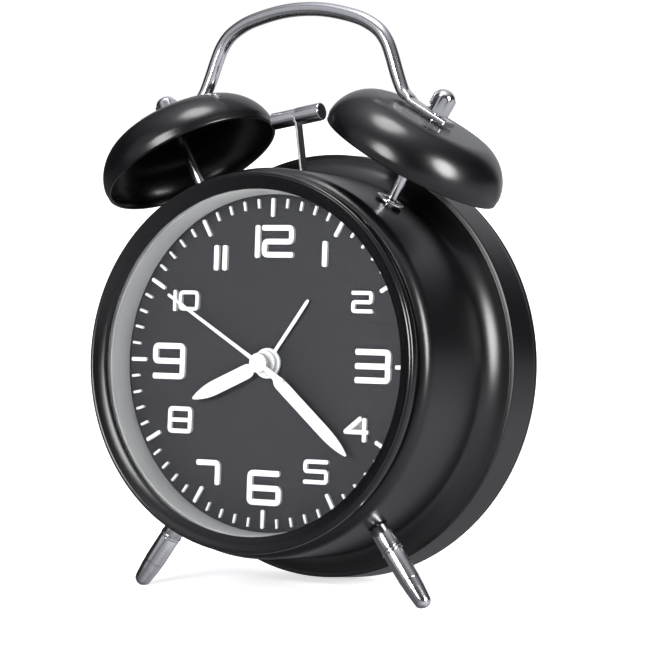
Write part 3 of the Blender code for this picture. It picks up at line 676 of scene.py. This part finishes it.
# The right half of the handle as (x, z, across, thick, squareness): a rod pressed flat.
HALF_HANDLE = [(*spot, ROD_R, ROD_R, 2) for spot in ROD_LINE]
HALF_HANDLE += [
    (31.1, 75.5, 1.98, 1.82, 2),
    (32.3, 73.4, 2.15, 1.58, 2.3),
    (*over_bell(9.6, 14.38), 2.4, 1.2, 2.8),
    (*over_bell(8.3, 13.95), 2.75, 0.9, 3.6),
    (*over_bell(6.6, 13.82), 2.98, 0.77, 6),
    (*over_bell(2.4, 13.82), 2.98, 0.77, 7),
    (*over_bell(-2.4, 13.82), 2.98, 0.77, 7),
    (*over_bell(-4.6, 13.82), 2.98, 0.77, 7),
    (*over_bell(-4.73, 13.82), 2.9, 0.69, 7),
]
rows = [(-row[0], *row[1:]) for row in HALF_HANDLE[:0:-1]] + HALF_HANDLE
piece(
    "handle_look",
    swept(smooth_rows(rows, 6)),
    chrome,
    "case",
    ("handle",),
    at(0, BELL_MOUTH[1], 0),
    40,
)

# ---------------------------------------------------------------- feet

foot_rows = [(1.5, 0.85), (2.84, 0.85), (2.86, 7.45), (2.66, 7.55), (2.66, 7.68), (3.02, 7.76)]
foot_rows += [(3.02, 8.28), (2.66, 8.36), (2.66, 8.5), (2.86, 8.6), (2.86, 12.0), (2.86, 17.1)]
foot_rows += [(2.79, 17.3), (2.74, 18.6), (2.66, 20.0), (2.52, 21.5), (2.38, 22.9), (2.27, 23.9)]
foot_rows += [(2.08, 24.5), (1.73, 25.02), (1.2, 25.4), (0.6, 25.6), (0, 25.66)]
foot_rows += [(0, 8.0), (1.5, 8.0)]
for side, sign in (("left", -1), ("right", 1)):
    base = Vector((sign * FOOT_BASE[0], *FOOT_BASE[1:]))
    tip = Vector((sign * FOOT_TIP[0], *FOOT_TIP[1:]))
    aim = (tip - base).to_track_quat("Z", "Y").to_matrix().to_4x4()
    foot = piece(
        f"foot_{side}_look",
        soft_turned(foot_rows, 0.06, 72, "Z", 2),
        chrome,
        "case",
        (f"foot_{side}",),
        at(*base, aim),
    )
    # The tip is cut off flat just above the floor.
    work = bmesh.new()
    work.from_mesh(foot.data)
    bmesh.ops.bisect_plane(
        work,
        geom=work.verts[:] + work.edges[:] + work.faces[:],
        plane_co=(0, 0, FOOT_CUT * MM),
        plane_no=(0, 0, -1),
        clear_outer=True,
    )
    bmesh.ops.edgeloop_fill(work, edges=[edge for edge in work.edges if edge.is_boundary])
    face_outwards(work)
    work.to_mesh(foot.data)
    work.free()

# ---------------------------------------------------------------- hammer

arm_turn = Matrix.Rotation(ARM_LEAN, 4, "Y")
hammer = at(*PIVOT, arm_turn)
head = at(*PIVOT, arm_turn @ Matrix.Translation((0, 0, ARM_TO_HEAD * MM)))
arm_top = ARM_TO_HEAD + 1.7
strip = plate([(-0.3, 1.9), (-0.3, arm_top), (0.3, arm_top), (0.3, 1.9)], -1.55, 1.55)
arm_boss = soft_turned([(1.2, -1.5), (2.2, -1.5), (2.2, 1.5), (1.2, 1.5)], 0.1, 40)
piece(
    "hammer_arm_look",
    merged(strip, arm_boss),
    steel,
    "hammer",
    ("hammer_arm",),
    hammer,
    bevel=0.08,
)
HEADS = {
    "hammer_head_left": [(0, -7.85), (2.1, -7.85), (2.3, -7.65), (2.3, -0.34), (0.85, -0.34)]
    + [(0.85, 4.0), (0, 4.0)],
    "hammer_head_right": [(1.15, 0.34), (2.45, 0.34), (2.45, 7.65), (2.25, 7.85), (0, 7.85)]
    + [(0, 4.4), (1.15, 4.4)],
}
for name, outline in HEADS.items():
    shape = soft_turned(outline, 0.12, 64, "X")
    piece(f"{name}_look", shape, chrome, "hammer", (name,), head)

# ---------------------------------------------------------------- hands


def both_sides(half):
    """A half outline and its mirror image."""
    return half + [(-x, z) for x, z in half[::-1] if x > 0]


def hand(name, deg, boss, half, low, high):
    """A flat hand with its boss, turned to its clock angle."""
    shape = merged(soft_turned(boss, 0.12, 72), plate(both_sides(half), low, high))
    place = at(0, 0, 0, Matrix.Rotation(radians(deg), 4, "Y"))
    piece(f"{name}_look", shape, hand_white, name, (name,), place, bevel=0.1)


def collar(inner, outer, low, high):
    """The outline of a plain ring."""
    return [(inner, low), (outer, low), (outer, high), (inner, high)]


hour_half = [(0.9, 2.2), (0.92, 3.5), (1.05, 3.95), (1.4, 4.3), (1.75, 4.8), (1.95, 5.5)]
hour_half += [(2.02, 6.4), (2.02, 16.5), (1.98, 18.0), (1.85, 19.4), (1.6, 20.8)]
hour_half += [(1.25, 22.2), (0.8, 23.6), (0.3, 24.75), (0, 24.9)]
minute_half = [(0.72, 1.2), (0.74, 5.8), (0.84, 6.2), (1.1, 6.55), (1.42, 7.0), (1.62, 7.6)]
minute_half += [(1.7, 8.4), (1.7, 26.5), (1.66, 28.5), (1.5, 30.6), (1.22, 32.6)]
minute_half += [(0.82, 34.5), (0.3, 36.1), (0, 36.3)]
second_half = [(0.5, -9.3), (0.66, -9.1), (0.64, 0), (0.5, 6.0), (0.42, 34.5), (0.2, 34.8)]
second_boss = [(0, -6.0), (2.5, -6.0), (2.68, -5.8), (2.68, -4.5), (0, -4.5)]
alarm_half = [(0.5, 3.4), (0.5, 20.2), (0.3, 21.2)]
hand("alarm_hand", 35.6, collar(2.6, 4.1, -1.25, -0.4), alarm_half, -1.22, -0.8)
hand("hour_hand", 245.6, collar(1.65, 3.4, -2.75, -1.35), hour_half, -2.72, -2.3)
hand("minute_hand", 130.8, collar(0.85, 1.95, -4.4, -2.85), minute_half, -4.37, -3.95)
hand("second_hand", 301.0, second_boss, second_half, -5.8, -5.45)

# ---------------------------------------------------------------- back

knob_rows = [(1.8, 40.8), (5.5, 40.8), (5.95, 41.2), (5.95, 46.3), (5.5, 46.85), (4.6, 46.9)]
knob_rows += [(4.3, 46.7), (0, 46.7), (0, 45.5), (1.8, 45.5)]
knob = turned(knob_rows, 192, flutes=((2, 3), 24, 0.4))
for name, sign in (("time_knob", 1), ("alarm_knob", -1)):
    place = at(sign * STEM_X, 0, STEM_Z)
    piece(f"{name}_look", knob, plastic, name, (name,), place, 45)

cover_rows = [(0, 38.9), (57.2, 38.9), (57.2, COVER_BACK), (50.4, COVER_BACK), (50.2, 40.1)]
cover_rows += [(49.4, 40.1), (49.2, COVER_BACK), (0, COVER_BACK)]
cover = piece(
    "back_cover_look",
    soft_turned(cover_rows, 0.2, 192),
    plastic,
    "case",
    ("back_cover",),
)


def battery_box(margin, y0, y1):
    """A box as large as the battery well's inside, with a margin round it."""
    return block(
        (-BATTERY_X - margin, y0, BATTERY_Z[0] - margin),
        (BATTERY_X + margin, y1, BATTERY_Z[1] + margin),
    )


def drill(hole, x, z):
    """Cuts a round hole in the back cover."""
    y0, y1 = THROUGH_COVER
    carve(cover, turned([(0, y0), (hole, y0), (hole, y1), (0, y1)], 48), at(x, 0, z))


y0, y1 = THROUGH_COVER
switch_low = (SWITCH_X - 2.7, y0, CONTROLS_Z - 1.5)
switch_high = (SWITCH_X + 6.7, y1, CONTROLS_Z + 1.5)
carve(cover, battery_box(0.02, y0, y1), CASE)
carve(cover, block(switch_low, switch_high), CASE)
drill(1.9, STEM_X, STEM_Z)
drill(1.9, -STEM_X, STEM_Z)
drill(4.0, BUTTON_X, CONTROLS_Z)
well_walls = battery_box(1.0, 22.6, 38.88)
well = piece("battery_well_look", well_walls, plastic, "case")
carve(well, battery_box(0, 23.6, 42), CASE)

door_parts = [battery_box(-0.3, 38.9, COVER_BACK)]
for row in range(4):
    door_parts.append(block((-8, 40.2, -15.2 - 2 * row), (8, 41.0, -14.2 - 2 * row)))
piece(
    "battery_door_look",
    merged(*door_parts),
    plastic,
    "battery_door",
    ("battery_door",),
    bevel=0.25,
)

switch_parts = [block((-3.0, 40.7, -3.2), (3.0, 42.2, 3.2))]
switch_parts += [block((-1.2, 35.5, -1.1), (1.2, 41.0, 1.1))]
switch_parts += [block((-2.6, 34.6, -2.6), (2.6, 35.9, 2.6))]
for x in (-2.2, -1.1, 0, 1.1, 2.2):
    switch_parts.append(block((x - 0.3, 42.0, -2.7), (x + 0.3, 42.6, 2.7)))
piece(
    "alarm_switch_look",
    merged(*switch_parts),
    grey,
    "alarm_switch",
    ("alarm_switch",),
    at(SWITCH_X, 0, CONTROLS_Z),
    bevel=0.2,
)

button_rows = [(0, 36.6), (4.6, 36.6), (4.6, 38.0), (3.6, 38.0), (3.6, 42.4), (3.45, 42.68)]
button_rows += [(3.1, 42.8), (2.6, 42.74), (1.6, 42.5), (0, 42.4)]
piece(
    "light_button_look",
    turned(button_rows, 72),
    grey,
    "light_button",
    ("light_button",),
    at(BUTTON_X, 0, CONTROLS_Z),
)

screw_rows = [(0, 34.5), (1.3, 34.5), (1.3, 40.7), (2.6, 40.7), (2.6, 41.15), (2.45, 41.5)]
screw_rows += [(2.1, 41.78), (1.5, 41.95), (0.8, 42.0), (0, 42.0)]
cross = [block((-1.5, 41.3, -0.28), (1.5, 43, 0.28)), block((-0.28, 41.3, -1.5), (0.28, 43, 1.5))]
for name, deg in (("top", 90), ("left", 210), ("right", 330)):
    turn = radians(deg)
    place = at(COVER_SCREW_R * cos(turn), 0, COVER_SCREW_R * sin(turn))
    node = f"cover_screw_{name}"
    shape = turned(screw_rows, 48)
    screw = piece(f"{node}_look", shape, steel, "case", (node,), place)
    for slot in cross:
        carve(screw, slot, place)

# ---------------------------------------------------------------- floor, light and camera


def ramp(tree, source, stops):
    """A smooth value from (position, value) stops."""
    made = tree.nodes.new("ShaderNodeValToRGB")
    made.color_ramp.interpolation = "EASE"
    steps = made.color_ramp.elements
    for place, value in stops[2:]:
        steps.new(place)
    for step, (place, value) in zip(steps, stops):
        step.position = place
    for step, (place, value) in zip(steps, stops):
        step.color = (value, value, value, 1)
    tree.links.new(source, made.inputs["Fac"])
    return made.outputs["Color"]


def combined(tree, operation, first, second):
    """One maths node's value from two sockets or numbers."""
    made = tree.nodes.new("ShaderNodeMath")
    made.operation = operation
    for socket, value in zip(made.inputs, (first, second)):
        if isinstance(value, (int, float)):
            socket.default_value = value
        else:
            tree.links.new(value, socket)
    return made.outputs["Value"]


bpy.ops.mesh.primitive_circle_add(vertices=96, radius=40.0, fill_type="NGON")
floor = bpy.context.object
floor.name = "floor"
pale = bpy.data.materials.new("pale_floor")
pale.use_nodes = True
tree = pale.node_tree
paint = tree.nodes["Principled BSDF"]
paint.inputs["Base Color"].default_value = (0.9, 0.9, 0.9, 1)
paint.inputs["Roughness"].default_value = 0.7
paint.inputs["Specular IOR Level"].default_value = 0.1
paint.inputs["Emission Color"].default_value = (1, 1, 1, 1)
spot = tree.nodes.new("ShaderNodeTexCoord")
reach = tree.nodes.new("ShaderNodeVectorMath")
reach.operation = "LENGTH"
tree.links.new(spot.outputs["Object"], reach.inputs[0])
glow = ramp(tree, reach.outputs["Value"], [(0.1, 0.62), (0.8, 1.0)])
tree.links.new(glow, paint.inputs["Emission Strength"])
floor.data.materials.append(pale)
floor.visible_glossy = False

world = bpy.data.worlds.new("studio")
bpy.context.scene.world = world
world.use_nodes = True
tree = world.node_tree
room = tree.nodes["Background"]
room.inputs["Color"].default_value = (0.93, 0.94, 1.0, 1)
facing = tree.nodes.new("ShaderNodeTexCoord")
split = tree.nodes.new("ShaderNodeSeparateXYZ")
tree.links.new(facing.outputs["Generated"], split.inputs["Vector"])
east, north, up = (split.outputs[name] for name in "XYZ")


def towards(x, y, z):
    """How far a direction points along (x, y, z)."""
    flat = combined(
        tree, "ADD", combined(tree, "MULTIPLY", east, x), combined(tree, "MULTIPLY", north, y)
    )
    return combined(tree, "ADD", flat, combined(tree, "MULTIPLY", up, z))


# The room as the clock's gloss mirrors it: ceiling, back wall, table and a patch front left.
ceiling = ramp(tree, up, [(0.4, 0.0), (0.64, 0.18), (0.77, 0.42), (0.95, 1.1)])
wall = ramp(tree, towards(-0.3, 1.0, 0.35), [(0.925, 0.0), (1.0, 1.0)])
behind = combined(tree, "MULTIPLY", wall, 0.6)
down = combined(tree, "MULTIPLY", up, -1.0)
depth_stops = [(0.0, 0.3), (0.17, 0.65), (0.34, 0.95), (0.77, 0.95), (0.94, 0.55), (1.0, 0.4)]
depth = ramp(tree, down, depth_stops)
is_below = ramp(tree, down, [(0.0, 0.0), (0.03, 1.0)])
across = combined(tree, "ADD", combined(tree, "MULTIPLY", east, 0.588), 0.412)
around = ramp(tree, across, [(0.0, 0.12), (0.2, 0.25), (0.41, 0.42), (0.8, 0.85), (1.0, 1.1)])
table = combined(tree, "MULTIPLY", combined(tree, "MULTIPLY", depth, is_below), around)
patch = ramp(tree, towards(-0.546, -0.779, 0.309), [(0.84, 0.0), (0.96, 1.0)])
front_left = combined(tree, "MULTIPLY", patch, 0.5)
light = 0.03
for share in (ceiling, behind, table, front_left):
    light = combined(tree, "ADD", share, light)
tree.links.new(light, room.inputs["Strength"])
# The camera sees plain white in its place.
plain = tree.nodes.new("ShaderNodeBackground")
plain.inputs["Color"].default_value = (1, 1, 1, 1)
plain.inputs["Strength"].default_value = 1.0
seen = tree.nodes.new("ShaderNodeLightPath")
either = tree.nodes.new("ShaderNodeMixShader")
tree.links.new(seen.outputs["Is Camera Ray"], either.inputs["Fac"])
tree.links.new(room.outputs["Background"], either.inputs[1])
tree.links.new(plain.outputs["Background"], either.inputs[2])
tree.links.new(either.outputs["Shader"], tree.nodes["World Output"].inputs["Surface"])


def softbox(name, azimuth, elevation, width, height, brightness):
    """A soft oval light aimed at the clock; width and height in degrees as seen from it."""
    data = bpy.data.lights.new(name, "AREA")
    data.shape = "ELLIPSE"
    data.size = 2 * LAMP_DISTANCE * sin(radians(width / 2))
    data.size_y = 2 * LAMP_DISTANCE * sin(radians(height / 2))
    data.energy = brightness * pi * data.size * data.size_y * pi / 4
    lamp = bpy.data.objects.new(name, data)
    bpy.context.scene.collection.objects.link(lamp)
    a, e = radians(azimuth), radians(elevation)
    back = Vector((sin(a) * cos(e), -cos(a) * cos(e), sin(e)))
    lamp.location = Vector(LAMP_AIM) + back * LAMP_DISTANCE
    lamp.rotation_euler = back.to_track_quat("Z", "Y").to_euler()
    lamp.visible_camera = False


softbox("front_light", 0, 18, 26, 34, 14.5)
softbox("right_light", 82, 14, 25, 32, 22)
softbox("top_light", 32, 82, 30, 30, 11)

camera = bpy.data.objects.new("camera", bpy.data.cameras.new("camera"))
bpy.context.scene.collection.objects.link(camera)
camera.data.lens = 153.991
camera.data.sensor_width = 36.0
camera.data.clip_start = 0.05
camera.matrix_world = Matrix(
    (
        (0.85566, -0.0202, 0.51715, 0.395938),
        (0.517004, 0.078855, -0.852347, -0.640037),
        (-0.023561, 0.99668, 0.077915, 0.132025),
        (0, 0, 0, 1),
    )
)
bpy.context.scene.camera = camera
bpy.context.scene.view_settings.view_transform = "Standard"
